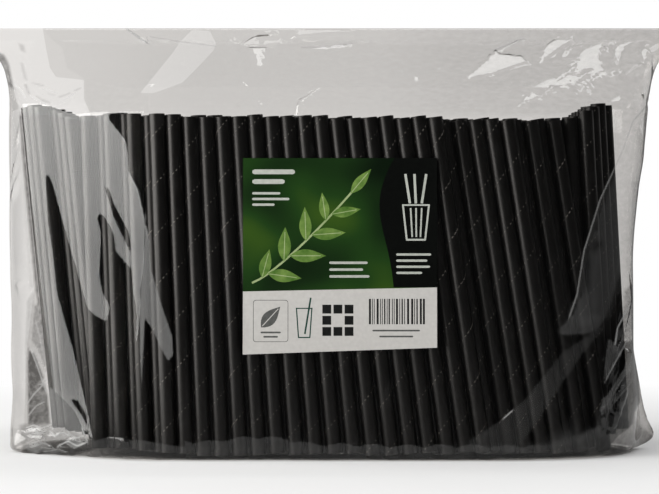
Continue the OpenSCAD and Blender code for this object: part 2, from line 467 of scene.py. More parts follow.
def pchip(xs, ys, x):
    """Monotone cubic through the rings."""
    h = np.diff(xs)
    dlt = np.diff(ys) / h
    m = np.zeros(len(xs))
    for i in range(1, len(xs) - 1):
        if dlt[i - 1] * dlt[i] > 0:
            w1, w2 = 2 * h[i] + h[i - 1], h[i] + 2 * h[i - 1]
            m[i] = (w1 + w2) / (w1 / dlt[i - 1] + w2 / dlt[i])
    m[0], m[-1] = dlt[0], dlt[-1]
    i = np.clip(np.searchsorted(xs, x, side="right") - 1, 0, len(h) - 1)
    t = (x - xs[i]) / h[i]
    t2, t3 = t * t, t * t * t
    return ((2 * t3 - 3 * t2 + 1) * ys[i] + (t3 - 2 * t2 + t) * h[i] * m[i] + (3 * t2 - 2 * t3) * ys[i + 1] + (t3 - t2) * h[i] * m[i + 1])


# The loop of the section, as parts with a parameter each; it starts at the right tip and goes along the front.
# part 0: right end front, 1: front, 2: left end front, 3: left end back, 4: back, 5: right end back
def section_point(part, t, l, r, b, e=END_LF):
    part = np.asarray(part)
    ang = np.asarray(t) * math.pi / 2
    c, s = np.maximum(np.cos(ang), 0), np.maximum(np.sin(ang), 0)
    cp, sp = c ** (2 / END_POW), s ** (2 / END_POW)
    cs, ss = c ** (2 / SLANT_POW), s ** (2 / SLANT_POW)
    x0, x1 = r - END_R, e - l
    x2 = END_LB - l
    xs = np.select([part == 0, part == 1, part == 2, part == 3, part == 4, part == 5],
                   [r - END_R + END_R * cp, x0 + (x1 - x0) * t, e - l - e * ss,
                    END_LB - l - END_LB * cp, x2 + (x0 - x2) * t, r - END_R + END_R * sp])
    ys = np.select([part == 0, part == 1, part == 2, part == 3, part == 4, part == 5],
                   [-b * sp, -b + 0 * t, -b * cs, b * sp, b + 0 * t, b * cp])
    return xs, ys


def loop_table():
    part, t = [], []
    for p in range(6):
        q = np.linspace(0, 1, 900, endpoint=False)
        part.append(np.full(len(q), p))
        t.append(q)
    part, t = np.concatenate(part), np.concatenate(t)
    x, y = section_point(part, t, LEFT, RIGHT + 1.0, B)
    d = np.hypot(np.diff(np.append(x, x[0])), np.diff(np.append(y, y[0])))
    s = np.concatenate([[0], np.cumsum(d)])
    return part + t, s


LOOP_Q, LOOP_S = loop_table()   # q = part + t, against the way round in mm
LOOP_Q = np.append(LOOP_Q, 6.0)
LEFT_TIP = np.interp(3.0, LOOP_Q, LOOP_S)
WAY = LOOP_S[-1]


def columns():
    """Way round of each column: close together on the front, wider apart on the back."""
    n_front = 300
    n_back = 132
    f = np.linspace(0, LEFT_TIP, n_front, endpoint=False)
    b = np.linspace(LEFT_TIP, WAY, n_back, endpoint=False)
    return np.concatenate([f, b]), n_front


def row_heights():
    k = 1.0
    spans = [(0.0, 3.0, 7), (3.0, 14.0, 14), (14.0, 148.0, 117), (148.0, SHARP_Z[0], 8), (SHARP_Z[0], SHARP_Z[1], 13), (SHARP_Z[1], SEAL, 34), (SEAL, TOP, 4)]
    z = []
    for a, b, n in spans:
        n = max(3, int(n * k))
        z += list(np.linspace(a, b, n, endpoint=False))
    return np.array(z + [TOP])


COLS, N_FRONT = columns()
ZS = row_heights()
NC, NR = len(COLS), len(ZS)


def front_out(x, z):
    """How far the front stands out of the frame's section: it bulges low down, more so at the left."""
    low = np.clip(CAM_Z - z, 0, None)
    return 0.5 + low ** 2 / 3600.0 + (0.028 + 0.045 * ease(-72, -98, x)) * low - (0.020 + 0.030 * ease(84, 108, x)) * np.clip(z - CAM_Z, 0, 58)


def fold_height(x):
    """Height at which the front turns under, in scallops along the straw ends."""
    s = np.abs(np.sin((x + 2.0) / 14.5 * math.pi))
    low = 7.2 + 2.6 * noise2(x / 31.0, x * 0, 5) + 1.5 * s
    return low + 3.0 * ease(115, 130, x) + 2.0 * ease(-40, -90, x)


def base_at(way, z):
    """Points of the film before creases, in mm, for arrays of way round and height."""
    way = np.mod(way, WAY)
    q = np.interp(way, LOOP_S, LOOP_Q)
    part = np.minimum(np.floor(q), 5).astype(int)
    t = q - part
    l = pchip(RINGS[:, 0], RINGS[:, 1], z)
    r = pchip(RINGS[:, 0], RINGS[:, 2], z)
    b = half_depth(z)
    x, y = section_point(part, t, l, r, b)
    # the front bulges low down
    w = ease(0, 26, LEFT_TIP - way) * ease(0, 26, way) * (way < LEFT_TIP)
    zf = fold_height(x)
    out = front_out(x, z)
    at_fold = front_out(x, zf)
    under = at_fold - (zf - z) * 0.34 - (zf - z) ** 2 * 0.012
    out = np.where(z < zf, np.minimum(out, np.maximum(under, 0.15)), out)
    out = np.where(z > SHOULDER, out * ease(172, SHOULDER, z), out)
    y = y - w * out
    # the lower left corner is pulled forward
    y = y - 24.0 * np.exp(-np.abs(way - LEFT_TIP) / 16.0) * ease(30, 2, z)
    # the side edges are pinched flat
    wl = np.exp(-np.abs(way - LEFT_TIP) / 5.0)
    way_r = np.minimum(way, WAY - way)
    wr = np.exp(-way_r / 6.0)
    calm = ease(SEAL, 150, z)
    x = x - wl * calm * (1.0 + 0.5 * noise2(z / 21.0, z * 0, 3))
    y = y * (1 - 0.55 * wl * calm)
    ear = np.interp(z, [0, 1, 2.6, 5, 7.2, 10, 14, 19, 25, 36, 47, 60], [0.6, 3.2, 6.2, 9.2, 9.6, 8.4, 6.0, 4.2, 3.0, 1.8, 0.6, 0])
    we = np.exp(-(way_r / 7.5) ** 1.15)
    x = x + we * ear + wr * 0.5 * calm
    y = y * (1 - we * np.clip(ear / 9.0, 0, 1) * 0.85)
    # the straws stand higher at the two ends, and lift the shoulder there
    lift = 4.0 * ease(80, 45, np.abs(way - LEFT_TIP)) + 4.5 * ease(70, 35, way_r)
    z = z + lift * np.interp(z, [146, 155.8, 165.45], [0, 1, 0])
    return np.stack([x, y, z], -1)


GRID_W, GRID_Z = np.meshgrid(COLS, ZS)      # rows x columns


def normals_of(way, z):
    dw, dz = 0.6, 0.5
    pw = base_at(way + dw, z) - base_at(way - dw, z)
    za, zb = np.clip(z - dz, 0, TOP), np.clip(z + dz, 0, TOP)
    pz = base_at(way, zb) - base_at(way, za)
    n = np.cross(pz, pw)
    return n / np.maximum(np.linalg.norm(n, axis=-1, keepdims=True), 1e-9)


# ---------------------------------------------------------------- film: creases
# Each crease field is a flat facet: its outline in picture coordinates and what it mirrors to the camera, or its slope.
T_TOP = "header"                      # the strip light overhead

FIELDS = []


def field(poly, target, steep=1.6, cap=6.0, hinge=None):
    FIELDS.append((np.array(poly, float), target, steep, cap, hinge))


# header, left
field([(125, 28), (128, 28), (148, 41), (146, 43)], T_TOP)
# header, middle
field([(240, 45), (267, 30), (280, 30), (284, 42), (267, 44.5)], T_TOP)
field([(246, 48), (268, 47.5), (262, 67.5), (258, 67.5)], T_TOP)
field([(240, 79), (268, 78), (267, 86), (262.5, 107)], T_TOP)
field([(286, 41), (299.5, 40), (356, 37), (353, 29), (301, 29)], T_TOP)
field([(302.6, 49), (330, 49), (353, 46), (352, 43.5), (320, 46)], T_TOP)
field([(293, 118), (298, 101), (310, 93.5), (321, 84), (318, 92), (307, 106), (301, 118)], T_TOP)
field([(327, 82), (330, 70), (332, 71), (329, 82)], T_TOP)
field([(224, 36), (230, 35), (242, 41), (238, 43)], T_TOP)
# header, right
field([(466, 79), (468, 74), (495, 50), (500, 54), (523, 56.5), (531, 64), (494, 75)], T_TOP)
field([(496, 50), (523, 38), (525, 42), (500, 53)], T_TOP)
field([(538, 65), (542, 48), (555.5, 39), (577, 35), (573, 43), (554, 55)], T_TOP)
field([(516, 110), (523, 96), (532, 92), (545, 96), (541, 99.5)], T_TOP)
field([(544, 91), (551, 86), (564, 85), (555.5, 91.5), (546, 95)], T_TOP)
field([(552.6, 84), (558.5, 74), (578, 62), (576, 69.6), (564, 78.4)], T_TOP)
field([(584, 88), (592, 78), (599, 69), (606.6, 73), (599, 81)], T_TOP)
field([(600, 48), (617, 36), (624, 29), (634, 35), (636, 43), (625.6, 50.6), (621, 64), (620, 72.5), (611, 62), (614, 44)], T_TOP)
field([(637, 52), (647.5, 45), (652, 53.6), (651, 80), (643, 75.5), (621, 77), (636, 64)], T_TOP)
field([(631, 97), (640, 93), (644, 100)], T_TOP)

# right end: the long fold and the facets below it
field([(613, 318), (606, 356), (600, 405), (604, 432), (614, 400), (622, 352), (626, 306), (622, 300)], ("slope", -0.14, 0.035), 2.2, 2.0)
field([(628, 268), (622, 300), (618, 334), (623, 342), (631, 300)], ("slope", 0.12, 0.06), 1.6, 1.6)
field([(624, 348), (612, 402), (608, 430), (616, 428), (629, 392), (632, 350)], ("slope", -0.13, 0.05), 2.0, 1.8)

# Painted shade: outlines where the film's reflection is taken out, in picture coordinates.
REFLECTION_CUT = [
    [(46, 174), (49, 176), (53, 185), (61, 215), (68, 240), (75, 264), (82, 290), (88, 309), (96, 316), (106.7, 321.5), (110, 308), (103, 293), (99, 276),
     (100, 257), (101, 233), (97, 217), (99, 214), (104, 216), (109, 224), (114, 236), (116, 251), (124, 261), (132, 270), (133, 290), (137, 314),
     (136, 338), (141, 381), (142, 348), (143, 317), (149, 324), (153, 330), (168, 361), (173, 355), (172, 336), (157, 290), (151, 270), (149, 243),
     (142, 209), (138, 190), (128.5, 171), (128, 155), (125, 140), (115, 127), (109, 120), (109, 113), (185, 113), (185, 447), (174, 446), (140, 440),
     (111, 437), (93, 441), (87, 409), (73, 350), (57, 293), (53, 255), (48, 221), (46, 187)],
    [(105, 187), (108, 188), (112, 197), (114, 204), (121, 218), (128, 231), (131, 244), (131, 254), (126, 243), (121, 233), (116, 222), (113, 215), (110, 204), (107, 195)],
    [(-8, 14), (42, 14), (46, 34), (62, 48), (67, 68), (86, 79), (104, 84), (150, 92), (150, 111.5), (96, 112), (78, 114.3), (66, 112), (56, 108), (46, 105),
     (38, 103.5), (22, 104), (31.5, 200), (40.5, 282), (51.5, 375), (57, 428), (-8, 428)],
    [(50, 388), (60, 396), (74, 410), (89, 442), (70, 436), (54, 428)],
    [(70, 398), (78, 401), (86, 414), (88, 428), (82, 416)],
]

# Painted reflections: patches of lit haze on the film, and how strong.
SHEEN_PATCHES = [
    (0.046, [(608, 323), (563, 352), (525, 400), (504, 418), (480, 434), (470, 440), (470, 452), (520, 452), (521, 444), (529, 433), (553, 397), (581, 356)]),
    (0.012, [(93, 441), (111, 437), (140, 440), (176, 446), (240, 447), (440, 447), (470, 440), (470, 470), (93, 470)]),
    (0.014, [(521, 444), (541, 441), (558, 441), (573, 436), (590, 430), (604, 432), (614, 436), (614, 470), (521, 470)]),
    (0.026, [(649, 103), (633, 121), (622, 152), (600, 200), (584, 251), (577, 295), (570, 306), (568, 316), (572, 323), (582, 326), (600, 322), (611, 318), (616, 300),
             (624, 282), (626, 200), (628, 150), (642, 112)]),
    (0.110, [(608, 338), (615, 344), (622, 353), (606.3, 380), (601, 410), (605, 364)]),
    (0.150, [(632.6, 359.5), (633.2, 368.5), (622, 380), (608.5, 402), (601.8, 411), (601.8, 402), (612, 387.5), (622, 371.8)]),
    (0.110, [(623, 383), (632, 391), (634.3, 411), (627.6, 420), (618.6, 414.4), (620.9, 391)]),
    (0.040, [(599.6, 412), (633, 421), (615, 440), (592, 444.7)]),
    (0.26, [(49, 386), (60, 396), (74, 410), (89, 442), (70, 436), (50, 430)]),
    (0.30, [(143.5, 200), (146, 218), (149, 243), (151, 270), (157, 290), (163, 310), (172, 336), (173, 355), (168, 361), (160, 346), (153, 330), (149, 324), (144.5, 317), (143.5, 348),
            (141.5, 383), (140, 350), (140, 300), (142, 275), (144, 250), (146, 225)]),
    (0.30, [(24, 431), (36, 426), (44, 430), (34, 437)]),
    (0.34, [(46, 433), (60, 429), (70, 437), (56, 440)]),
    (0.40, [(64, 443), (76, 436), (86, 444), (74, 449)]),
    (0.22, [(24, 446), (44, 442), (60, 452), (34, 456)]),
]

# Where the header's two faces stick together, and painted highlights on the header and the clear strip at the left: the
# film passes more light there.
CLINGING_AND_HIGHLIGHT = [
    [(-8, 14), (42, 14), (43, 30), (46, 48), (50, 68), (56, 77), (84, 80), (84, 99), (90, 113), (92, 122), (20, 112), (14, 92), (8, 80), (-8, 60)],
    [(12, 112), (19, 108), (21, 150), (25.5, 200), (34, 290), (29, 330), (26, 356), (25, 402), (24, 425), (20, 437), (14, 444), (10, 400), (10, 300), (9, 200)],
    [(192, 30), (210, 31), (216, 44), (213, 51), (196, 69), (182, 83), (154, 93), (140, 93), (154, 76), (174, 51), (180, 42)],
]

# The long fold at the right end: its crest, and where the film beyond it has come back to its base.
FOLD_Y = [100, 121, 152, 200, 251, 295, 318, 335]
FOLD_X = [651, 633, 622, 600, 584, 577, 569, 562]
BACK_X = [656, 650, 643, 634, 625, 612, 604, 598]

# Crease lines, whitened partly for real and partly as a painted highlight: how strong, and their points in picture
# coordinates.
LINES = [
    (0.25, [(649, 103), (633, 121), (622, 152), (600, 200), (584, 251), (577, 295), (569, 318)]),
    (1.00, [(127, 29), (147, 43)]),
    (0.36, [(14, 84), (21, 90), (25, 97)]),
    (0.36, [(33, 97), (39, 99.5), (46, 105)]),
    (0.40, [(44, 89), (49, 90), (55, 92)]),
    (0.40, [(62, 100), (68, 98), (75, 93)]),
    (0.30, [(151, 37), (183, 42), (215, 46)]),
    (0.60, [(630, 304), (617.5, 328), (615.3, 344)]),
    (0.34, [(628, 339), (617, 359), (606, 380)]),
    (0.35, [(302, 47.5), (328, 47), (351, 44)]),
    (0.60, [(504, 418), (512, 411)]),
    (0.35, [(497, 49), (523, 39)]),
    (0.45, [(26, 433), (33, 429), (39, 434), (47, 430)]),
    (0.35, [(29, 438), (40, 435), (45, 438)]),
    (0.55, [(50, 431), (55, 436), (63, 432), (69, 436)]),
    (0.40, [(66, 430), (75, 438), (83, 436)]),
    (0.60, [(58, 446), (68, 441), (77, 446), (87, 442)]),
    (0.45, [(30, 444), (38, 441), (46, 443)]),
    (0.40, [(26, 428), (34, 425), (42, 428), (50, 425)]),
    (0.35, [(32, 447), (43, 443), (52, 446)]),
    (0.30, [(44, 452), (58, 449), (66, 452)]),
    (0.35, [(82, 428), (88, 443)]),
    (0.34, [(31, 350), (38, 368), (46, 392)]),
    (0.30, [(27, 404), (34, 394), (40, 388), (46, 380)]),
    (0.24, [(28, 416), (36, 406), (44, 402)]),
    (0.20, [(36, 322), (40, 338), (45, 362)]),
    (0.12, [(128, 171), (138, 190), (142, 209), (149, 243)]),
    (0.16, [(601, 411), (609, 402), (622, 380)]),
    (0.14, [(610, 408), (618, 398), (630, 384)]),
]

# Where the film lies doubled over on itself and lets less light through; the dark slits and dark corners among them are
# painted shade.
FOLDED_AND_SHADE = [
    (0.74, [(610, 442), (622, 428), (634, 411), (640, 424), (650, 432), (657, 438), (654, 446), (638, 452), (612, 456)]),
    (0.48, [(18, 424), (40, 420), (60, 424), (88, 436), (94, 450), (70, 458), (40, 458), (22, 452)]),
    (0.09, [(82, 76), (104, 83), (150.5, 91), (150.5, 114), (90, 116), (84, 100)]),
    (0.34, [(17, 42), (25, 44), (27, 54), (20, 52)]),
    (0.26, [(19, 62), (24, 62), (29, 82), (23, 80)]),
    (0.46, [(23, 84), (27, 83), (31, 94), (28, 96)]),
    (0.40, [(31, 81.5), (39, 83), (45, 84.5), (44, 87), (37, 86), (32, 84.5)]),
    (0.44, [(35, 94), (42, 98), (50, 101), (51, 104), (42, 102.5), (36, 97.5)]),
    (0.40, [(57, 96), (66, 93), (70, 91), (72, 94), (64, 97), (59, 99)]),
    (0.42, [(72, 91), (76, 88.5), (82, 86), (81, 89.5), (76, 92)]),
    (0.24, [(45, 91), (51, 93), (56, 94), (55, 97), (48, 95)]),
    (1.00, [(30, 440), (44, 434), (49, 436), (38, 442)]),
    (1.00, [(58, 441), (73, 437), (76, 439), (64, 445)]),
    (1.00, [(44, 447), (56, 443), (62, 447), (52, 450)]),
    (1.00, [(26, 356), (36, 362), (46, 384), (49, 396), (52, 426), (27, 426)]),
    (0.80, [(-4, 50), (5, 54), (10, 63), (16, 92), (9, 88), (2, 74), (-4, 64)]),
    (0.30, [(26, 300), (34, 288), (47, 375), (52, 424), (30, 426), (25, 400), (24, 350)]),
    (1.15, [(27, 346), (36, 354), (46, 380), (30, 392), (27, 402)]),
    (0.70, [(33, 306), (39, 300), (47, 345), (48, 378), (36, 350), (30, 340)]),
    (1.25, [(598, 454), (600, 414), (612, 408), (628, 406), (636, 410), (636, 419), (628, 429), (617, 440), (607, 451)]),
    (1.85, [(617, 344), (622, 338), (628, 341), (637, 334), (639, 372), (641, 402), (635, 414), (634, 425), (618, 438)]),
    (0.80, [(623, 290), (630, 284), (638, 284), (638, 338), (629, 344), (621, 340), (619, 326)]),
    (0.25, [(632, 180), (640, 180), (636, 322), (628, 322)]),
    (0.95, [(18.5, 116), (22.5, 112), (25, 140), (31.5, 200), (40, 290), (47, 345), (43, 350), (34.5, 290), (25.5, 200), (21, 150)]),
    (0.16, [(22, 180), (26, 186), (35, 290), (29, 290)]),
]


def inside_poly(px, py, poly):
    hit = np.zeros(px.shape, bool)
    x0, y0 = poly[-1]
    for x1, y1 in poly:
        cross = ((y1 > py) != (y0 > py)) & (px < (x0 - x1) * (py - y1) / (y0 - y1 + 1e-12) + x1)
        hit ^= cross
        x0, y0 = x1, y1
    return hit


def poly_distance(px, py, poly):
    best = np.full(px.shape, 1e9)
    a = poly
    b = np.roll(poly, -1, axis=0)
    for (x0, y0), (x1, y1) in zip(a, b):
        dx, dy = x1 - x0, y1 - y0
        t = np.clip(((px - x0) * dx + (py - y0) * dy) / (dx * dx + dy * dy + 1e-12), 0, 1)
        best = np.minimum(best, np.hypot(px - x0 - t * dx, py - y0 - t * dy))
    return best


FRONT_COLS = slice(0, N_FRONT + 1)


def front_lookup():
    """Base points and picture coordinates of the front part of the grid."""
    w, z = GRID_W[:, FRONT_COLS], GRID_Z[:, FRONT_COLS]
    p = base_at(w, z)
    return p, to_px(p)


P_FRONT, (PX_F, PY_F) = front_lookup()


def aim(target, point, normal, tw, tz):
    """Slopes along tw and tz that turn the surface so that it mirrors target to the camera."""
    if isinstance(target, tuple) and target[0] == "slope":
        return target[1], target[2]
    v = point - CAM
    v = v / np.linalg.norm(v)
    if isinstance(target, str):
        r = v - 2 * (v @ normal) * normal
        reach = (1300.0 - point[2]) / max(r[2], 0.3)
        target = (min(900.0, max(-220.0, point[0] + r[0] * reach)), 450.0, 1300.0)
    target = np.array(target, float)
    d = target - point
    d = d / np.linalg.norm(d)
    n = d - v
    n = n / np.linalg.norm(n)
    k = max(0.25, float(n @ normal))
    return -float(n @ tw) / k, -float(n @ tz) / k


def frame_at(cx, cy):
    """Place, normal and tangents of the base under a picture point, with mm a pixel along each tangent."""
    i = np.argmin((PX_F - cx) ** 2 + (PY_F - cy) ** 2)
    j, c = np.unravel_index(i, PX_F.shape)
    w, z = GRID_W[j, c], GRID_Z[j, c]
    p = base_at(np.array(w), np.array(z))
    n = normals_of(np.array(w), np.array(z))
    tx = np.cross(n, [0, 0, 1.0])
    tx = tx / np.linalg.norm(tx)
    if tx[0] < 0:
        tx = -tx
    tz = np.cross(tx, n)
    if tz[2] < 0:
        tz = -tz
    q0 = np.array(to_px(p))
    qx = (np.array(to_px(p + tx)) - q0)
    qz = (np.array(to_px(p + tz)) - q0)
    jac = np.linalg.inv(np.stack([qx, qz], 1))      # picture step -> mm along tx, tz
    return p, n, tx, tz, jac


def relief(px, py, w):
    """Height of the creases, in mm, at picture coordinates; w is the way round, to fade the tips."""
    total = np.zeros(px.shape)
    for poly, target, steep, cap, hinge in FIELDS:
        lo, hi = poly.min(0) - 1, poly.max(0) + 1
        m = (px > lo[0]) & (px < hi[0]) & (py > lo[1]) & (py < hi[1])
        if not m.any():
            continue
        c = poly.mean(0)
        p, n, tx, tz, jac = frame_at(*c)
        gx, gz = aim(target, p, n, tx, tz)
        rel = (jac @ (poly - c).T).T
        plane_c = -(rel @ np.array([gx, gz])).min()
        a, b = px[m], py[m]
        ins = inside_poly(a, b, poly)
        d = poly_distance(a, b, poly)
        q = jac @ np.stack([a - c[0], b - c[1]])
        h = gx * q[0] + gz * q[1] + plane_c
        scale = math.sqrt(abs(np.linalg.det(jac)))
        h = np.minimum(h, cap)
        h = np.minimum(h, steep * d * scale)
        total[m] += np.where(ins, np.maximum(h, 0), 0)
    return total * ease(0, 5, w) * ease(0, 5, LEFT_TIP - w)


def long_fold(px, py):
    """The long fold at the right end: a ridge, steeper on its left."""
    xf, xb = np.interp(py, FOLD_Y, FOLD_X), np.interp(py, FOLD_Y, BACK_X)
    crest = 0.22 * (xb - xf) * PX * ease(99, 112, py) * ease(336, 312, py)
    h = np.where(px >= xf, crest * np.clip((xb - px) / (xb - xf), 0, 1), crest * np.clip(1 - (xf - px) / 9.0, 0, 1))
    return np.where((py > 99) & (py < 336) & (px > 500), h, 0)


def crease_segments():
    seg = []
    for poly in [f[0] for f in FIELDS]:
        for a, b in zip(poly, np.roll(poly, -1, axis=0)):
            seg.append((*a, *b, 0.0))
    for strength, line in LINES:
        for a, b in zip(line[:-1], line[1:]):
            seg.append((*a, *b, strength))
    return np.array(seg, float)


def snap(w, z):
    """Moves grid points onto nearby crease lines, by less than half a cell."""
    seg = crease_segments()
    px, py = PX_F, PY_F
    gx = np.gradient(px, axis=1)
    gy = np.gradient(py, axis=0)
    gxz = np.gradient(px, axis=0)
    gyw = np.gradient(py, axis=1)
    best = np.full(px.shape, 9.0)
    dx = np.zeros(px.shape)
    dy = np.zeros(px.shape)
    ident = np.full(px.shape, -1)
    for k, (x0, y0, x1, y1, _) in enumerate(seg):
        m = (px > min(x0, x1) - 3) & (px < max(x0, x1) + 3) & (py > min(y0, y1) - 3) & (py < max(y0, y1) + 3)
        if not m.any():
            continue
        a, b = px[m], py[m]
        ux, uy = x1 - x0, y1 - y0
        t = np.clip(((a - x0) * ux + (b - y0) * uy) / (ux * ux + uy * uy + 1e-9), 0, 1)
        ex, ey = x0 + t * ux - a, y0 + t * uy - b
        det = gx[m] * gy[m] - gxz[m] * gyw[m]
        det = np.where(np.abs(det) < 1e-6, 1e9, det)
        di = (ex * gy[m] - gxz[m] * ey) / det
        dj = (gx[m] * ey - gyw[m] * ex) / det
        dist = np.maximum(np.abs(di), np.abs(dj))
        ok = dist < np.minimum(best[m], 0.46)
        idx = np.argwhere(m)
        sel = idx[ok]
        best[sel[:, 0], sel[:, 1]] = dist[ok]
        dx[sel[:, 0], sel[:, 1]] = di[ok]
        dy[sel[:, 0], sel[:, 1]] = dj[ok]
        ident[sel[:, 0], sel[:, 1]] = k
    dx[:, 0] = dx[:, -1] = 0
    dy[:, 0] = dy[:, -1] = 0
    dy[0] = dy[-1] = 0
    dwc = np.gradient(w, axis=1)
    dzr = np.gradient(z, axis=0)
    return w + dx * dwc, z + dy * dzr, ident


def soft_waves(w, z, side):
    """Long shallow waves that the film always has."""
    a = 0.16 * noise2(w / 17.0, z / 31.0, 11 + side) + 0.07 * noise2(w / 6.3 + z / 30.0, z / 11.0, 23 + side)
    hd = ease(156, 166, z) * ease(SEAL, 178, z)
    return a * (1 - 0.6 * hd) + 0.07 * hd * noise2(w / 24.0, z / 12.0, 37 + side)


def back_creases(w, z):
    """Scattered folds on the back, drawn in way round and height."""
    rb = np.random.default_rng(21)
    total = np.zeros(w.shape)
    for _ in range(110):
        cw = rb.uniform(LEFT_TIP + 6, WAY - 6)
        cz = rb.uniform(4, 186)
        near_end = min(cw - LEFT_TIP, WAY - cw) < 50
        ln = rb.uniform(8, 34) * (1.0 if near_end else 0.8)
        wd = ln * rb.uniform(0.10, 0.34)
        ang = rb.normal(math.radians(75), 0.5) if cz < 150 else rb.uniform(0, math.pi)
        g = rb.uniform(0.10, 0.30)
        u = (w - cw) * math.cos(ang) + (z - cz) * math.sin(ang)
        v = -(w - cw) * math.sin(ang) + (z - cz) * math.cos(ang)
        side = rb.uniform(0.15, 0.85)
        width = wd * np.clip(1 - np.abs(u) / (ln / 2), 0, 1)
        up_ = np.where(v > 0, v / np.maximum(side * width, 1e-6), -v / np.maximum((1 - side) * width, 1e-6))
        total = np.maximum(total, g * width * np.clip(1 - up_, 0, 1))
    return total * ease(0, 5, w - LEFT_TIP) * ease(0, 5, WAY - w)


def front_small_creases(w, z, x, pxx, pyy):
    """Seeded small folds near the ends, the shoulder and the foot of the front."""
    rb = np.random.default_rng(5)
    total = np.zeros(w.shape)
    spots = []
    for _ in range(22):
        spots.append((rb.uniform(604, 622), rb.uniform(300, 440), rb.uniform(14, 46), rb.normal(1.3, 0.2)))
    for _ in range(8):
        spots.append((rb.uniform(24, 50), rb.uniform(330, 420), rb.uniform(14, 40), rb.normal(1.9, 0.3)))
    for _ in range(60):
        spots.append((rb.uniform(22, 90), rb.uniform(424, 456), rb.uniform(9, 26), rb.uniform(-0.6, 0.9)))
    for _ in range(10):
        spots.append((rb.uniform(20, 560), rb.uniform(36, 90), rb.uniform(5, 14), rb.uniform(0, math.pi)))
    for _ in range(14):
        spots.append((rb.uniform(566, 655), rb.uniform(36, 108), rb.uniform(8, 26), rb.normal(0.9, 0.4)))
    for cx, cy, ln, ang in spots:
        wd = ln * rb.uniform(0.16, 0.40)
        g = rb.uniform(0.10, 0.32)
        side = rb.uniform(0.12, 0.88)
        ca, sa = math.cos(ang), -math.sin(ang)
        m = (np.abs(pxx - cx) < ln) & (np.abs(pyy - cy) < ln)
        if not m.any():
            continue
        u = (pxx[m] - cx) * ca + (pyy[m] - cy) * sa
        v = -(pxx[m] - cx) * sa + (pyy[m] - cy) * ca
        width = wd * np.clip(1 - np.abs(u) / (ln / 2), 0, 1)
        q = np.where(v > 0, v / np.maximum(side * width, 1e-6), -v / np.maximum((1 - side) * width, 1e-6))
        total[m] = np.maximum(total[m], (0.24 if cx > 600 and cy > 290 else 0.8 if cx < 92 and cy > 422 else 0.45) * g * width * np.clip(1 - q, 0, 1))
    return total * ease(0, 5, w) * ease(0, 5, LEFT_TIP - w)


LABEL_X0, LABEL_X1, LABEL_Z0, LABEL_Z1 = 4.6 - 42.75, 4.6 + 42.75, 46.8, 133.3


def label_mask(x, z):
    d = np.maximum(np.maximum(LABEL_X0 - x, x - LABEL_X1), np.maximum(LABEL_Z0 - z, z - LABEL_Z1))
    return ease(0.5, 6, d)


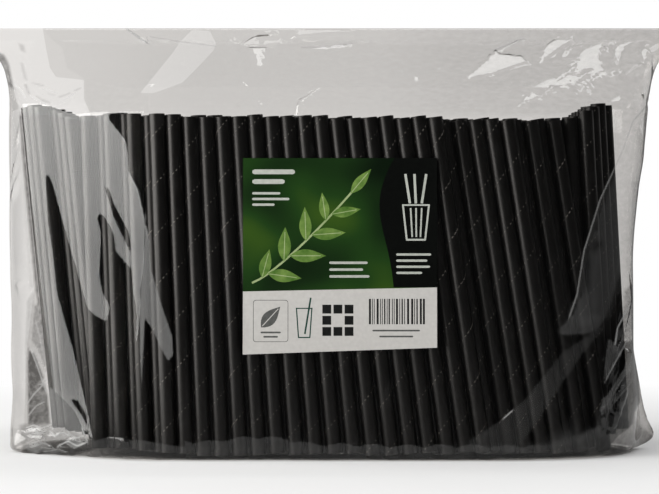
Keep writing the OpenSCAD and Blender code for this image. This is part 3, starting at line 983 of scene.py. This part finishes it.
def build_film():
    w, z = GRID_W.copy(), GRID_Z.copy()
    wf, zf, ident_f = snap(w[:, FRONT_COLS], z[:, FRONT_COLS])
    w[:, FRONT_COLS], z[:, FRONT_COLS] = wf, zf
    ident = np.full(w.shape, -1)
    ident[:, FRONT_COLS] = ident_f
    p = base_at(w, z)
    n = normals_of(w, z)
    px, py = to_px(p)
    h = np.zeros(w.shape)
    front = np.zeros(w.shape, bool)
    front[:, FRONT_COLS] = True
    h[:, FRONT_COLS] += relief(px[:, FRONT_COLS], py[:, FRONT_COLS], w[:, FRONT_COLS])
    h[:, FRONT_COLS] += front_small_creases(w[:, FRONT_COLS], z[:, FRONT_COLS], p[:, FRONT_COLS, 0], px[:, FRONT_COLS], py[:, FRONT_COLS])
    h = np.where(front, h, back_creases(w, z))
    tips = np.minimum(np.abs(w - LEFT_TIP), np.minimum(w, WAY - w))
    h += soft_waves(w, z, 0) * ease(0, 12, tips)
    # thin folds that run along the foot
    for zc, amp, wd in ((1.5, 0.30, 0.7), (3.1, 0.22, 0.6)):
        wob = zc + 0.35 * noise2(p[..., 0] / 24.0, z * 0 + zc, 9)
        h += np.where(front, amp * np.clip(1 - np.abs(z - wob) / wd, 0, 1), 0)
    tip_f = ease(0, 5, w[:, FRONT_COLS]) * ease(0, 5, LEFT_TIP - w[:, FRONT_COLS])
    h[:, FRONT_COLS] += long_fold(px[:, FRONT_COLS], py[:, FRONT_COLS]) * tip_f
    h *= np.where(front, label_mask(p[..., 0], z), 1.0)
    calm = ease(TOP, SEAL, z)
    h *= calm
    p = p + n * h[..., None]
    # underside: the film runs in to the middle, gathered a little
    under = []
    for k, zz in ((0.88, 0.02), (0.7, 0.12), (0.5, 0.2), (0.28, 0.22), (0.06, 0.25)):
        q = p[0].copy()
        q[:, 1] *= k
        q[:, 0] *= 1 - 0.015 * (1 - k)
        q[:, 2] = zz + 0.10 * (1 - k) * (1 + noise2(q[:, 0] / 3.1, q[:, 1] * 0 + k, 2))
        under.append(q)
    rows = under[::-1] + [p[j] for j in range(NR)]
    idents = [np.full(NC, -1)] * len(under) + [ident[j] for j in range(NR)]
    P = np.array(rows)
    I = np.array(idents)
    P[..., 2] = np.maximum(P[..., 2], 0.0)
    R = len(rows)
    V = P.reshape(-1, 3)
    idx = np.arange(R * NC).reshape(R, NC)
    a = idx[:-1]
    b = np.roll(a, -1, axis=1)
    d = idx[1:]
    c = np.roll(d, -1, axis=1)
    # quads a b c d; the diagonal that lies in the surface, or in a crease, is kept
    pa, pb, pc, pd = V[a], V[b], V[c], V[d]
    If = I.reshape(-1)
    same_ac = (If[a] == If[c]) & (If[a] >= 0)
    same_bd = (If[b] == If[d]) & (If[b] >= 0)

    def bend(p0, p1, p2, p3):
        n1 = np.cross(p1 - p0, p2 - p0)
        n2 = np.cross(p2 - p0, p3 - p0)
        n1 /= np.maximum(np.linalg.norm(n1, axis=-1, keepdims=True), 1e-12)
        n2 /= np.maximum(np.linalg.norm(n2, axis=-1, keepdims=True), 1e-12)
        return 1 - (n1 * n2).sum(-1)

    use_ac = bend(pa, pb, pc, pd) <= bend(pb, pc, pd, pa)
    use_ac = np.where(same_ac & ~same_bd, True, np.where(same_bd & ~same_ac, False, use_ac))
    # seen from outside the loop runs clockwise on the front, so the order a d c b faces out
    t1 = np.where(use_ac[..., None], np.stack([a, c, b], -1), np.stack([a, d, b], -1)).reshape(-1, 3)
    t2 = np.where(use_ac[..., None], np.stack([a, d, c], -1), np.stack([b, d, c], -1)).reshape(-1, 3)
    tris = [t1, t2]

    def cap(row, flip):
        """Closes a thin ring with a strip between its front and its back."""
        front_i = list(idx[row, :N_FRONT + 1])                                     # right tip to left tip
        back_i = [idx[row, 0]] + list(idx[row, N_FRONT:][::-1])                     # right tip to left tip along the back
        i = j = 0
        out = []
        while i < len(front_i) - 1 or j < len(back_i) - 1:
            fi = V[front_i[i + 1]][0] if i < len(front_i) - 1 else -1e9
            bj = V[back_i[j + 1]][0] if j < len(back_i) - 1 else -1e9
            if fi >= bj:
                t = (front_i[i], front_i[i + 1], back_i[j])
                i += 1
            else:
                t = (front_i[i], back_i[j + 1], back_i[j])
                j += 1
            if len(set(t)) == 3:
                out.append(t[::-1] if flip else t)
        return np.array(out)

    tris.append(cap(0, False))
    tris.append(cap(R - 1, True))
    T = np.concatenate(tris)
    ob = new_mesh("film_bag", V * MM, T, [MAT_FILM])
    # whitening along the crease lines, partly real and partly a painted highlight
    me = ob.data
    is_front = np.zeros((R, NC), bool)
    is_front[:, FRONT_COLS] = True
    is_front = is_front.reshape(-1)
    vx, vy = to_px(V)
    best, signed, white = np.full(V.shape[0], 9.0), np.full(V.shape[0], 9.0), np.zeros(V.shape[0])
    for strength, line in LINES:
        for (x0, y0), (x1, y1) in zip(line[:-1], line[1:]):
            d = poly_distance(vx, vy, np.array([(x0, y0), (x1, y1)], float))
            turn = np.sign((x1 - x0) * (vy - y0) - (y1 - y0) * (vx - x0))
            ln = math.hypot(x1 - x0, y1 - y0)
            along = ((vx - x0) * (x1 - x0) + (vy - y0) * (y1 - y0)) / ln
            over = np.maximum(np.maximum(-along, along - ln), 0)
            near = is_front & (d < best)
            best = np.where(near, d, best)
            signed = np.where(near, d * np.where(turn == 0, 1, turn), signed)
            white = np.where(near, strength * np.clip((7 - d) / 3, 0, 1) * np.clip(1 - over / 3.0, 0, 1), white)
    masks = {"whitened_and_glint": white, "line_distance": np.clip(signed, -6, 6)}
    # dark slits and dark corners here are painted shade
    folded_and_shade = np.zeros(V.shape[0])
    for strength, outline in FOLDED_AND_SHADE:
        d = poly_distance(vx, vy, np.array(outline, float))
        ins = inside_poly(vx, vy, np.array(outline, float))
        folded_and_shade = np.maximum(folded_and_shade, np.where(is_front & ins, strength * np.clip(d / 2.5, 0, 1), 0))
    # the film passes slightly less light towards the right end, mostly in the header and the right end strip, and a
    # little at the far left below the header
    grey = np.interp(vx, [60, 140, 200, 380, 450, 520, 600, 640], [0.0, 0.03, 0.075, 0.12, 0.22, 0.263, 0.317, 0.357])
    grey = grey * (1 - 0.9 * np.clip((vy - 112) / 10, 0, 1) * np.clip((612 - vx) / 6, 0, 1))
    grey = np.where(is_front, grey + 0.07 * np.clip((50 - vx) / 15, 0, 1) * np.clip((vy - 110) / 10, 0, 1), 0)
    masks["folded_and_shade"] = folded_and_shade + grey * np.clip(1 - folded_and_shade, 0, 1)
    # painted shade: weaker reflection low down at the left
    masks["reflection_fade"] = np.where(is_front, np.interp(vy, [110, 155, 200, 245, 300, 380, 430], [0.0, 0.09, 0.17, 0.33, 0.34, 0.38, 0.1])
                               * np.clip((200 - vx) / 20, 0, 1), 0)
    for key, outlines in (("reflection_cut", REFLECTION_CUT), ("clinging_and_highlight", CLINGING_AND_HIGHLIGHT)):
        sd = np.full(V.shape[0], -6.0)
        for outline in outlines:
            d = poly_distance(vx, vy, np.array(outline, float))
            ins = inside_poly(vx, vy, np.array(outline, float))
            sd = np.maximum(sd, np.where(is_front, np.where(ins, d, -d), -6.0))
        masks[key] = np.clip(sd, -6, 6)
    # painted reflections: how much haze each patch adds
    amount, near = np.zeros(V.shape[0]), np.full(V.shape[0], -7.0)
    for much, outline in SHEEN_PATCHES:
        d = poly_distance(vx, vy, np.array(outline, float))
        d = np.where(is_front, np.where(inside_poly(vx, vy, np.array(outline, float)), d, -d), -6.0)
        amount = np.where(d > near, much, amount)
        near = np.maximum(near, d)
    masks["sheen_patch"], masks["sheen_patch_amount"] = np.clip(near, -6, 6), amount
    for key, value in masks.items():
        me.attributes.new(key, "FLOAT", "POINT").data.foreach_set("value", value.astype(np.float32))
    # crease lines are sharp
    me = ob.data
    ne = len(me.edges)
    ev = np.empty(ne * 2, np.int32)
    me.edges.foreach_get("vertices", ev)
    ev = ev.reshape(-1, 2)
    e_same = (If[ev[:, 0]] >= 0) & (If[ev[:, 0]] == If[ev[:, 1]])
    erow = ev // NC - len(under)
    e_same &= is_front[ev[:, 0]]
    for zz in SHARP_Z:
        j = int(np.argmin(np.abs(ZS - zz)))
        e_same |= (erow[:, 0] == j) & (erow[:, 1] == j)
    if not me.attributes.get("sharp_edge"):
        me.attributes.new("sharp_edge", "BOOLEAN", "EDGE")
    me.attributes["sharp_edge"].data.foreach_set("value", e_same)
    print("film triangles", len(T), "rows", R, "columns", NC)
    return ob, p


film, FILM_P = build_film()
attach(film, "root")
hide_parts("bag_film")


def film_front_y(x, z):
    """Depth of the front of the film at x and height z, read off the built grid (label area)."""
    fx = FILM_P[:, FRONT_COLS, 0]
    fy = FILM_P[:, FRONT_COLS, 1]
    rows_z = FILM_P[:, FRONT_COLS, 2].mean(1)
    out = np.empty(len(x))
    col_y = {}
    for k, (a, b) in enumerate(zip(x, z)):
        j = int(np.clip(np.searchsorted(rows_z, b) - 1, 0, len(rows_z) - 2))
        t = (b - rows_z[j]) / (rows_z[j + 1] - rows_z[j])
        ya = np.interp(-a, -fx[j], fy[j])
        yb = np.interp(-a, -fx[j + 1], fy[j + 1])
        out[k] = ya + (yb - ya) * t
    return out


# ---------------------------------------------------------------- label
def label_materials():
    mats = []
    # printed green field: soft, out-of-focus greens
    m, nt, out = material("label_green")
    tc = nt.nodes.new("ShaderNodeTexCoord").outputs["Object"]
    soft = noise(nt, mapping(nt, tc, (1, 0.2, 1.25)), 26.0, 1.0, 0.35)
    col = ramp(nt, soft, [(0.34, (0.0012, 0.0065, 0.0012)), (0.47, (0.0045, 0.0190, 0.0030)), (0.58, (0.0100, 0.0400, 0.0050)), (0.72, (0.0350, 0.0800, 0.0060))])
    pr = nt.nodes.new("ShaderNodeBsdfPrincipled")
    nt.links.new(col, pr.inputs["Base Color"])
    pr.inputs["Roughness"].default_value = 0.42
    pr.inputs["Specular IOR Level"].default_value = 0.12
    grain = noise(nt, tc, 900.0, 3.0)
    nt.links.new(bump(nt, grain, 0.05, 0.00005), pr.inputs["Normal"])
    nt.links.new(pr.outputs[0], out.inputs["Surface"])
    mats.append(m)
    for name, a, b, rough in (
            ("label_white", (0.465, 0.452, 0.432), (0.505, 0.492, 0.470), 0.5),
            ("label_dark", (0.0008, 0.0011, 0.0009), (0.0015, 0.0022, 0.0015), 0.45),
            ("label_leaf", (0.045, 0.115, 0.014), (0.150, 0.240, 0.055), 0.42),
            ("label_leaf_rib", (0.22, 0.30, 0.12), (0.32, 0.38, 0.20), 0.42),
            ("label_print_white", (0.36, 0.38, 0.34), (0.43, 0.44, 0.40), 0.45),
            ("label_print_black", (0.006, 0.0065, 0.006), (0.012, 0.0125, 0.012), 0.45),
            ("label_print_grey", (0.07, 0.072, 0.068), (0.10, 0.102, 0.098), 0.45),
            ("label_print_teal", (0.005, 0.035, 0.025), (0.010, 0.055, 0.040), 0.45),
            ("label_edge", (0.36, 0.36, 0.34), (0.42, 0.42, 0.40), 0.7)):
        m, nt, out = material(name)
        tc = nt.nodes.new("ShaderNodeTexCoord").outputs["Object"]
        f = noise(nt, tc, 210.0 if "leaf" in name else 600.0, 3.0)
        pr = nt.nodes.new("ShaderNodeBsdfPrincipled")
        nt.links.new(ramp(nt, f, [(0.3, a), (0.7, b)]), pr.inputs["Base Color"])
        pr.inputs["Roughness"].default_value = rough
        pr.inputs["Specular IOR Level"].default_value = 0.12
        nt.links.new(bump(nt, f, 0.05, 0.00005), pr.inputs["Normal"])
        nt.links.new(pr.outputs[0], out.inputs["Surface"])
        mats.append(m)
    return mats


LABEL_MATS = label_materials()
GREEN, WHITE, DARK, LEAF, RIB, PWHITE, PBLACK, PGREY, PTEAL, EDGE = range(10)
LW, LH, LRISE = 85.5, 86.5, 3.0     # label in its own mm: x from 0 at the left, y from 0 at the top, down


def rect(x, y, w, h):
    return [(x, y), (x + w, y), (x + w, y + h), (x, y + h)]


def pill(x, y, w, h, n=4):
    r = h / 2
    pts = [(x + r + r * math.cos(a), y + r + r * math.sin(a)) for a in np.linspace(math.pi / 2, 1.5 * math.pi, n)]
    pts += [(x + w - r + r * math.cos(a), y + r + r * math.sin(a)) for a in np.linspace(-math.pi / 2, math.pi / 2, n)]
    return pts


def disc(cx, cy, rx, ry=None, n=28, a0=0.0):
    ry = rx if ry is None else ry
    return [(cx + rx * math.cos(a), cy + ry * math.sin(a)) for a in a0 + np.arange(n) * 2 * math.pi / n]


def round_rect(x, y, w, h, r, n=5):
    pts = []
    for cx, cy, s in ((x + w - r, y + r, -0.5), (x + w - r, y + h - r, 0.0), (x + r, y + h - r, 0.5), (x + r, y + r, 1.0)):
        for a in np.linspace(s * math.pi, (s + 0.5) * math.pi, n):
            pts.append((cx + r * math.cos(a), cy + r * math.sin(a)))
    return pts


def leaf(x0, y0, x1, y1, fat, n=12):
    """A pointed oval from one point to the other."""
    dx, dy = x1 - x0, y1 - y0
    nx, ny = -dy, dx
    pts = []
    for s, sg in ((np.linspace(0, 1, n), 1), (np.linspace(1, 0, n), -1)):
        for t in s[:-1]:
            f = fat * math.sin(math.pi * t ** 0.8) ** 1.1
            pts.append((x0 + dx * t + sg * nx * f, y0 + dy * t + sg * ny * f))
    return pts


def stroke(pts, w):
    """A line of even width, as one outline."""
    p = np.array(pts, float)
    d = np.gradient(p, axis=0)
    d /= np.linalg.norm(d, axis=1, keepdims=True)
    n = np.stack([-d[:, 1], d[:, 0]], 1) * w / 2
    return [tuple(q) for q in p + n] + [tuple(q) for q in (p - n)[::-1]]


SPLIT_L, SPLIT_R = 58.8, 57.0       # where the green field ends, at the left and right edges


def label_shapes():
    sh = [([(0, SPLIT_L), (LW, SPLIT_R), (LW, LH + 1), (0, LH + 1)], WHITE)]
    # a dark band along the right, with a wavy edge
    y = np.linspace(-1, SPLIT_R, 20)
    x = 66.5 - 5.5 * np.sin(y / 58.0 * math.pi) - 1.8 * np.sin(y / 58.0 * 2 * math.pi)
    sh.append(([(LW + 1, -1)] + [(LW + 1, SPLIT_R - 0.02)] + list(zip(x[::-1], y[::-1])), DARK))
    # a spray of leaves from the lower left
    stem = [(4 + 44 * t, 55 - 40 * t ** 1.25) for t in np.linspace(0, 1, 14)]
    sh.append((stroke(stem, 0.9), RIB))
    for t, ang, ln, fat in ((0.10, -75, 13, .20), (0.16, 8, 15, .19), (0.32, -88, 15, .19), (0.38, 0, 16, .18), (0.54, -92, 15, .18),
                            (0.60, -4, 15, .18), (0.74, -98, 12.5, .18), (0.80, -10, 13, .18), (0.99, -50, 14, .17)):
        k = t * 13
        i = min(int(k), 12)
        x0 = stem[i][0] + (stem[i + 1][0] - stem[i][0]) * (k - i)
        y0 = stem[i][1] + (stem[i + 1][1] - stem[i][1]) * (k - i)
        a = math.radians(ang)
        x1, y1 = x0 + ln * math.cos(a), y0 + ln * math.sin(a)
        sh.append((leaf(x0, y0, x1, y1, fat), LEAF))
        sh.append((stroke([(x0 + (x1 - x0) * q, y0 + (y1 - y0) * q) for q in (0.04, 0.4, 0.85)], 0.35), RIB))
    # a beaker of straws in outline, upper right
    sh.append((stroke([(70.5, 20.5), (72.2, 36.0)], 0.8), PWHITE))
    sh.append((stroke([(82.0, 20.5), (80.3, 36.0)], 0.8), PWHITE))
    sh.append((stroke([(71.9, 36.0), (80.6, 36.0)], 0.8), PWHITE))
    sh.append((stroke([(70.2, 20.7), (82.3, 20.7)], 0.7), PWHITE))
    for xa, xb in ((73.6, 71.6), (76.2, 75.6), (78.8, 80.8)):
        sh.append((stroke([(xa, 20.0), (xb, 7.0)], 1.1), PWHITE))
    for xa, xb in ((74.6, 73.9), (76.4, 76.3), (78.2, 78.8)):
        sh.append((stroke([(xa, 34.8), (xb, 22.0)], 0.7), PWHITE))
    # plain bars where a label has its lines of words
    for i, wd in enumerate((19, 14.5)):
        sh.append((pill(4.0, 5.0 + i * 4.3, wd, 2.1), PWHITE))
    for i, wd in enumerate((12.5, 16.5, 10.0)):
        sh.append((pill(4.0, 15.0 + i * 2.5, wd, 1.05), PWHITE))
    for i, wd in enumerate((15.5, 13.8, 15.0, 11.5)):
        sh.append((pill(67.5, 42.0 + i * 2.7, wd, 1.0), PWHITE))
    for i, wd in enumerate((17.0, 15.0, 17.8)):
        sh.append((pill(38.0, 45.6 + i * 3.0, wd, 1.1), PWHITE))
    # white strip: a framed leaf mark, a beaker, three squares, and a block of stripes
    sh.append((round_rect(4.5, 62.5, 15.5, 18.5, 1.3), PGREY))
    sh.append((round_rect(4.75, 62.75, 15.0, 18.0, 1.1), WHITE))
    sh.append((leaf(8.0, 74.6, 16.5, 65.4, .24), PGREY))
    sh.append((stroke([(8.6, 74.0), (12.0, 70.3), (15.6, 66.4)], 0.35), WHITE))
    for i, wd in enumerate((9.0, 6.5)):
        sh.append((pill(12.25 - wd / 2, 76.4 + i * 1.9, wd, 0.8), PGREY))
    sh.append((stroke([(23.6, 66.0), (24.5, 79.0)], 0.55), PTEAL))
    sh.append((stroke([(30.4, 66.0), (29.5, 79.0)], 0.55), PTEAL))
    sh.append((stroke([(24.3, 79.0), (29.7, 79.0)], 0.55), PTEAL))
    sh.append((stroke([(23.3, 66.2), (30.7, 66.2)], 0.5), PTEAL))
    sh.append((stroke([(27.3, 77.5), (29.9, 61.5)], 0.75), PTEAL))
    for i in range(3):
        for j in range(3):
            if (i, j) != (1, 1):
                sh.append((rect(35.0 + i * 4.9, 64.6 + j * 4.9, 3.9, 3.9), PBLACK))
    rs = np.random.default_rng(3)
    xx = 55.5
    while xx < 79.5:
        wd = rs.choice([0.35, 0.35, 0.6, 0.9])
        sh.append((rect(xx, 62.0, wd, 11.2), PBLACK))
        xx += wd + rs.choice([0.45, 0.6, 0.9])
    for i, (xo, wd) in enumerate(((57.0, 21.0), (60.0, 15.0))):
        sh.append((pill(xo, 75.6 + i * 2.6, wd, 0.75), PGREY))
    return sh


def build_label():
    def bottom(x):
        return LH - LRISE * x / LW

    outline = [(0.0, 0.0)]
    n = 44
    xs = np.linspace(0, LW, n)
    ys = np.linspace(0, 1, n)
    outline = [(x, 0.0) for x in xs[:-1]] + [(LW, bottom(LW) * t) for t in ys[:-1]] + [(x, bottom(x)) for x in xs[::-1][:-1]] + [(0.0, LH * t) for t in ys[::-1][:-1]]
    pts = [tuple(p) for p in outline]
    edges = [(i, (i + 1) % len(pts)) for i in range(len(pts))]
    shapes = label_shapes()
    for poly, _ in shapes:
        c = len(pts)
        q = [(min(LW - 0.02, max(0.02, x)), min(bottom(x) - 0.02, max(0.02, y))) for x, y in poly]
        pts += q
        edges += [(c + i, c + (i + 1) % len(q)) for i in range(len(q))]
    gx, gy = np.meshgrid(np.arange(1.2, LW - 0.5, 2.1), np.arange(1.1, LH - 3.5, 2.1))
    pts += list(zip(gx.ravel(), gy.ravel()))
    vs, es, fs, _, _, _ = delaunay_2d_cdt(pts, edges, [list(range(len(outline)))], 1, 1e-4, True)
    v2 = np.array([[p[0], p[1]] for p in vs])
    tri = np.array([f for f in fs if len(f) == 3])
    cen = v2[tri].mean(1)
    keep = inside_poly(cen[:, 0], cen[:, 1], np.array(outline))
    tri, cen = tri[keep], cen[keep]
    mat = np.full(len(tri), GREEN)
    for poly, k in shapes:
        mat[inside_poly(cen[:, 0], cen[:, 1], np.array(poly, float))] = k
    used = np.unique(tri)
    remap = np.full(len(v2), -1)
    remap[used] = np.arange(len(used))
    v2, tri = v2[used], remap[tri]
    x = LABEL_X0 + v2[:, 0]
    z = LABEL_Z1 - v2[:, 1]
    y = film_front_y(x, z)
    # it lies on the film, its corners a touch lifted
    cx, cz = np.abs(v2[:, 0] / LW - 0.5) * 2, np.abs(v2[:, 1] / LH - 0.5) * 2
    lift = 0.05 + 0.25 * (cx * cz) ** 8
    fr = np.stack([x, y - 0.17 - lift, z], 1)
    bk = np.stack([x, y - 0.03 - lift, z], 1)
    n = len(v2)
    a, b, c = v2[tri[:, 0]], v2[tri[:, 1]], v2[tri[:, 2]]
    area = (b[:, 0] - a[:, 0]) * (c[:, 1] - a[:, 1]) - (b[:, 1] - a[:, 1]) * (c[:, 0] - a[:, 0])
    tri = np.where((area > 0)[:, None], tri[:, ::-1], tri)       # y runs down, so a positive turn faces away
    e = np.concatenate([tri[:, [0, 1]], tri[:, [1, 2]], tri[:, [2, 0]]])
    key = {}
    for p, q in e:
        key[(int(p), int(q))] = 1
    rim = [(p, q) for p, q in key if (q, p) not in key]
    faces = [tri, tri[:, ::-1] + n]
    side = []
    for p, q in rim:
        side += [(q, p, p + n), (q, p + n, q + n)]
    faces.append(np.array(side))
    F = np.concatenate(faces)
    M = np.concatenate([mat, np.full(len(tri), EDGE), np.full(len(side), EDGE)])
    ob = new_mesh("label_sheet", np.concatenate([fr, bk]) * MM, F, LABEL_MATS, M)
    ob.data.set_sharp_from_angle(angle=math.radians(40))
    print("label triangles", len(F))
    return ob


label = build_label()
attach(label, "root")
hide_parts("label")

# ---------------------------------------------------------------- stage and light
m, nt, out = material("floor_pale")
tc = nt.nodes.new("ShaderNodeTexCoord").outputs["Object"]
f = noise(nt, tc, 6.0, 2.0)
pr = nt.nodes.new("ShaderNodeBsdfPrincipled")
sep = nt.nodes.new("ShaderNodeSeparateXYZ")
nt.links.new(tc, sep.inputs[0])
front_t = math_node(nt, "MULTIPLY_ADD", sep.outputs["Y"], 1.0, False)
front_t.node.inputs[2].default_value = 1.0
pale = ramp(nt, f, [(0.3, (0.84, 0.84, 0.84)), (0.7, (0.86, 0.86, 0.86))])
depth = ramp(nt, front_t, [(0.55, (0.13, 0.13, 0.13)), (0.82, (0.58, 0.58, 0.58))])
# mirrored in the film, the floor is painted darker towards the front: a painted shade in its reflection
lp = nt.nodes.new("ShaderNodeLightPath")
tint = nt.nodes.new("ShaderNodeMix")
tint.data_type = "RGBA"
nt.links.new(lp.outputs["Is Glossy Ray"], tint.inputs["Factor"])
nt.links.new(pale, tint.inputs["A"])
nt.links.new(depth, tint.inputs["B"])
nt.links.new(tint.outputs["Result"], pr.inputs["Base Color"])
pr.inputs["Roughness"].default_value = 0.9
pr.inputs["Specular IOR Level"].default_value = 0.1
glow = nt.nodes.new("ShaderNodeEmission")
glow.inputs["Color"].default_value = (1, 1, 1, 1)
dist = nt.nodes.new("ShaderNodeVectorMath")
dist.operation = "LENGTH"
nt.links.new(mapping(nt, tc, (1, 1.6, 1)), dist.inputs[0])
far = ramp(nt, math_node(nt, "MULTIPLY", dist.outputs["Value"], 1.0), [(0.22, (0, 0, 0)), (0.75, (1, 1, 1))])
mx = nt.nodes.new("ShaderNodeMixShader")
behind = ramp(nt, front_t, [(0.80, (0, 0, 0)), (0.95, (1, 1, 1))])
mirrored = math_node(nt, "MULTIPLY_ADD", lp.outputs["Is Glossy Ray"], -0.8)
mirrored.node.inputs[2].default_value = 1.0
nt.links.new(mirrored, glow.inputs["Strength"])
short = math_node(nt, "MULTIPLY_ADD", math_node(nt, "SUBTRACT", behind, 1.0), lp.outputs["Is Glossy Ray"])
short.node.inputs[2].default_value = 1.0
nt.links.new(math_node(nt, "MULTIPLY", far, short), mx.inputs[0])
nt.links.new(pr.outputs[0], mx.inputs[1])
nt.links.new(glow.outputs[0], mx.inputs[2])
nt.links.new(mx.outputs[0], out.inputs["Surface"])
floor = new_mesh("floor", [(-30, -30, 0), (30, -30, 0), (30, 30, 0), (-30, 30, 0)], [(0, 1, 2, 3)], [m])


def soft_light(name, place, at, w, h, radiance, colour=(1, 1, 1)):
    d = bpy.data.lights.new(name, "AREA")
    d.shape = "RECTANGLE"
    d.size, d.size_y = w, h
    d.energy = radiance * math.pi * w * h
    d.color = colour
    ob = bpy.data.objects.new(name, d)
    scene.collection.objects.link(ob)
    place, at = np.array(place), np.array(at)
    ob.location = place.tolist()
    from mathutils import Vector
    ob.rotation_mode = "QUATERNION"
    ob.rotation_quaternion = Vector((at - place).tolist()).to_track_quat("-Z", "Y")
    ob.visible_camera = False
    return ob


soft_light("light_left", (-1.36, -0.35, 0.47), (-0.05, -0.05, 0.16), 1.75, 0.94, 6.2, (1.0, 0.99, 0.97))
soft_light("light_table", (-0.83, -0.30, 0.004), (-0.83, -0.30, 1.0), 0.96, 1.4, 5.2, (1.0, 0.99, 0.97))
soft_light("light_top", (0.05, -0.50, 1.32), (0.05, -0.45, 0.0), 1.7, 0.70, 2.6)
soft_light("light_strip", (0.35, 0.435, 1.30), (0.35, 0.435, 0.0), 1.20, 0.13, 3.1)
soft_light("light_right", (1.15, 0.75, 0.5), (0, 0, 0.1), 0.8, 0.7, 0.6)
soft_light("light_back", (0.5, 1.5, 0.75), (0, 0, 0.08), 1.3, 0.6, 1.6)

world = bpy.data.worlds.new("studio")
scene.world = world
world.use_nodes = True
nt = world.node_tree
nt.nodes.clear()
out = nt.nodes.new("ShaderNodeOutputWorld")
lp = nt.nodes.new("ShaderNodeLightPath")
bg_cam = nt.nodes.new("ShaderNodeBackground")
bg_cam.inputs["Color"].default_value = (1, 1, 1, 1)
bg_cam.inputs["Strength"].default_value = 1.0
bg_dif = nt.nodes.new("ShaderNodeBackground")
bg_dif.inputs["Color"].default_value = (1, 1, 1, 1)
bg_dif.inputs["Strength"].default_value = 0.25
bg_gls = nt.nodes.new("ShaderNodeBackground")
bg_gls.inputs["Color"].default_value = (1, 1, 1, 1)
bg_gls.inputs["Strength"].default_value = 0.02
m1 = nt.nodes.new("ShaderNodeMixShader")
m2 = nt.nodes.new("ShaderNodeMixShader")
nt.links.new(lp.outputs["Is Glossy Ray"], m1.inputs[0])
nt.links.new(bg_dif.outputs[0], m1.inputs[1])
nt.links.new(bg_gls.outputs[0], m1.inputs[2])
nt.links.new(lp.outputs["Is Camera Ray"], m2.inputs[0])
nt.links.new(m1.outputs[0], m2.inputs[1])
nt.links.new(bg_cam.outputs[0], m2.inputs[2])
nt.links.new(m2.outputs[0], out.inputs["Surface"])

scene.view_settings.view_transform = "Standard"
scene.view_settings.look = "None"
scene.view_settings.exposure = 0.0
scene.view_settings.gamma = 1.0
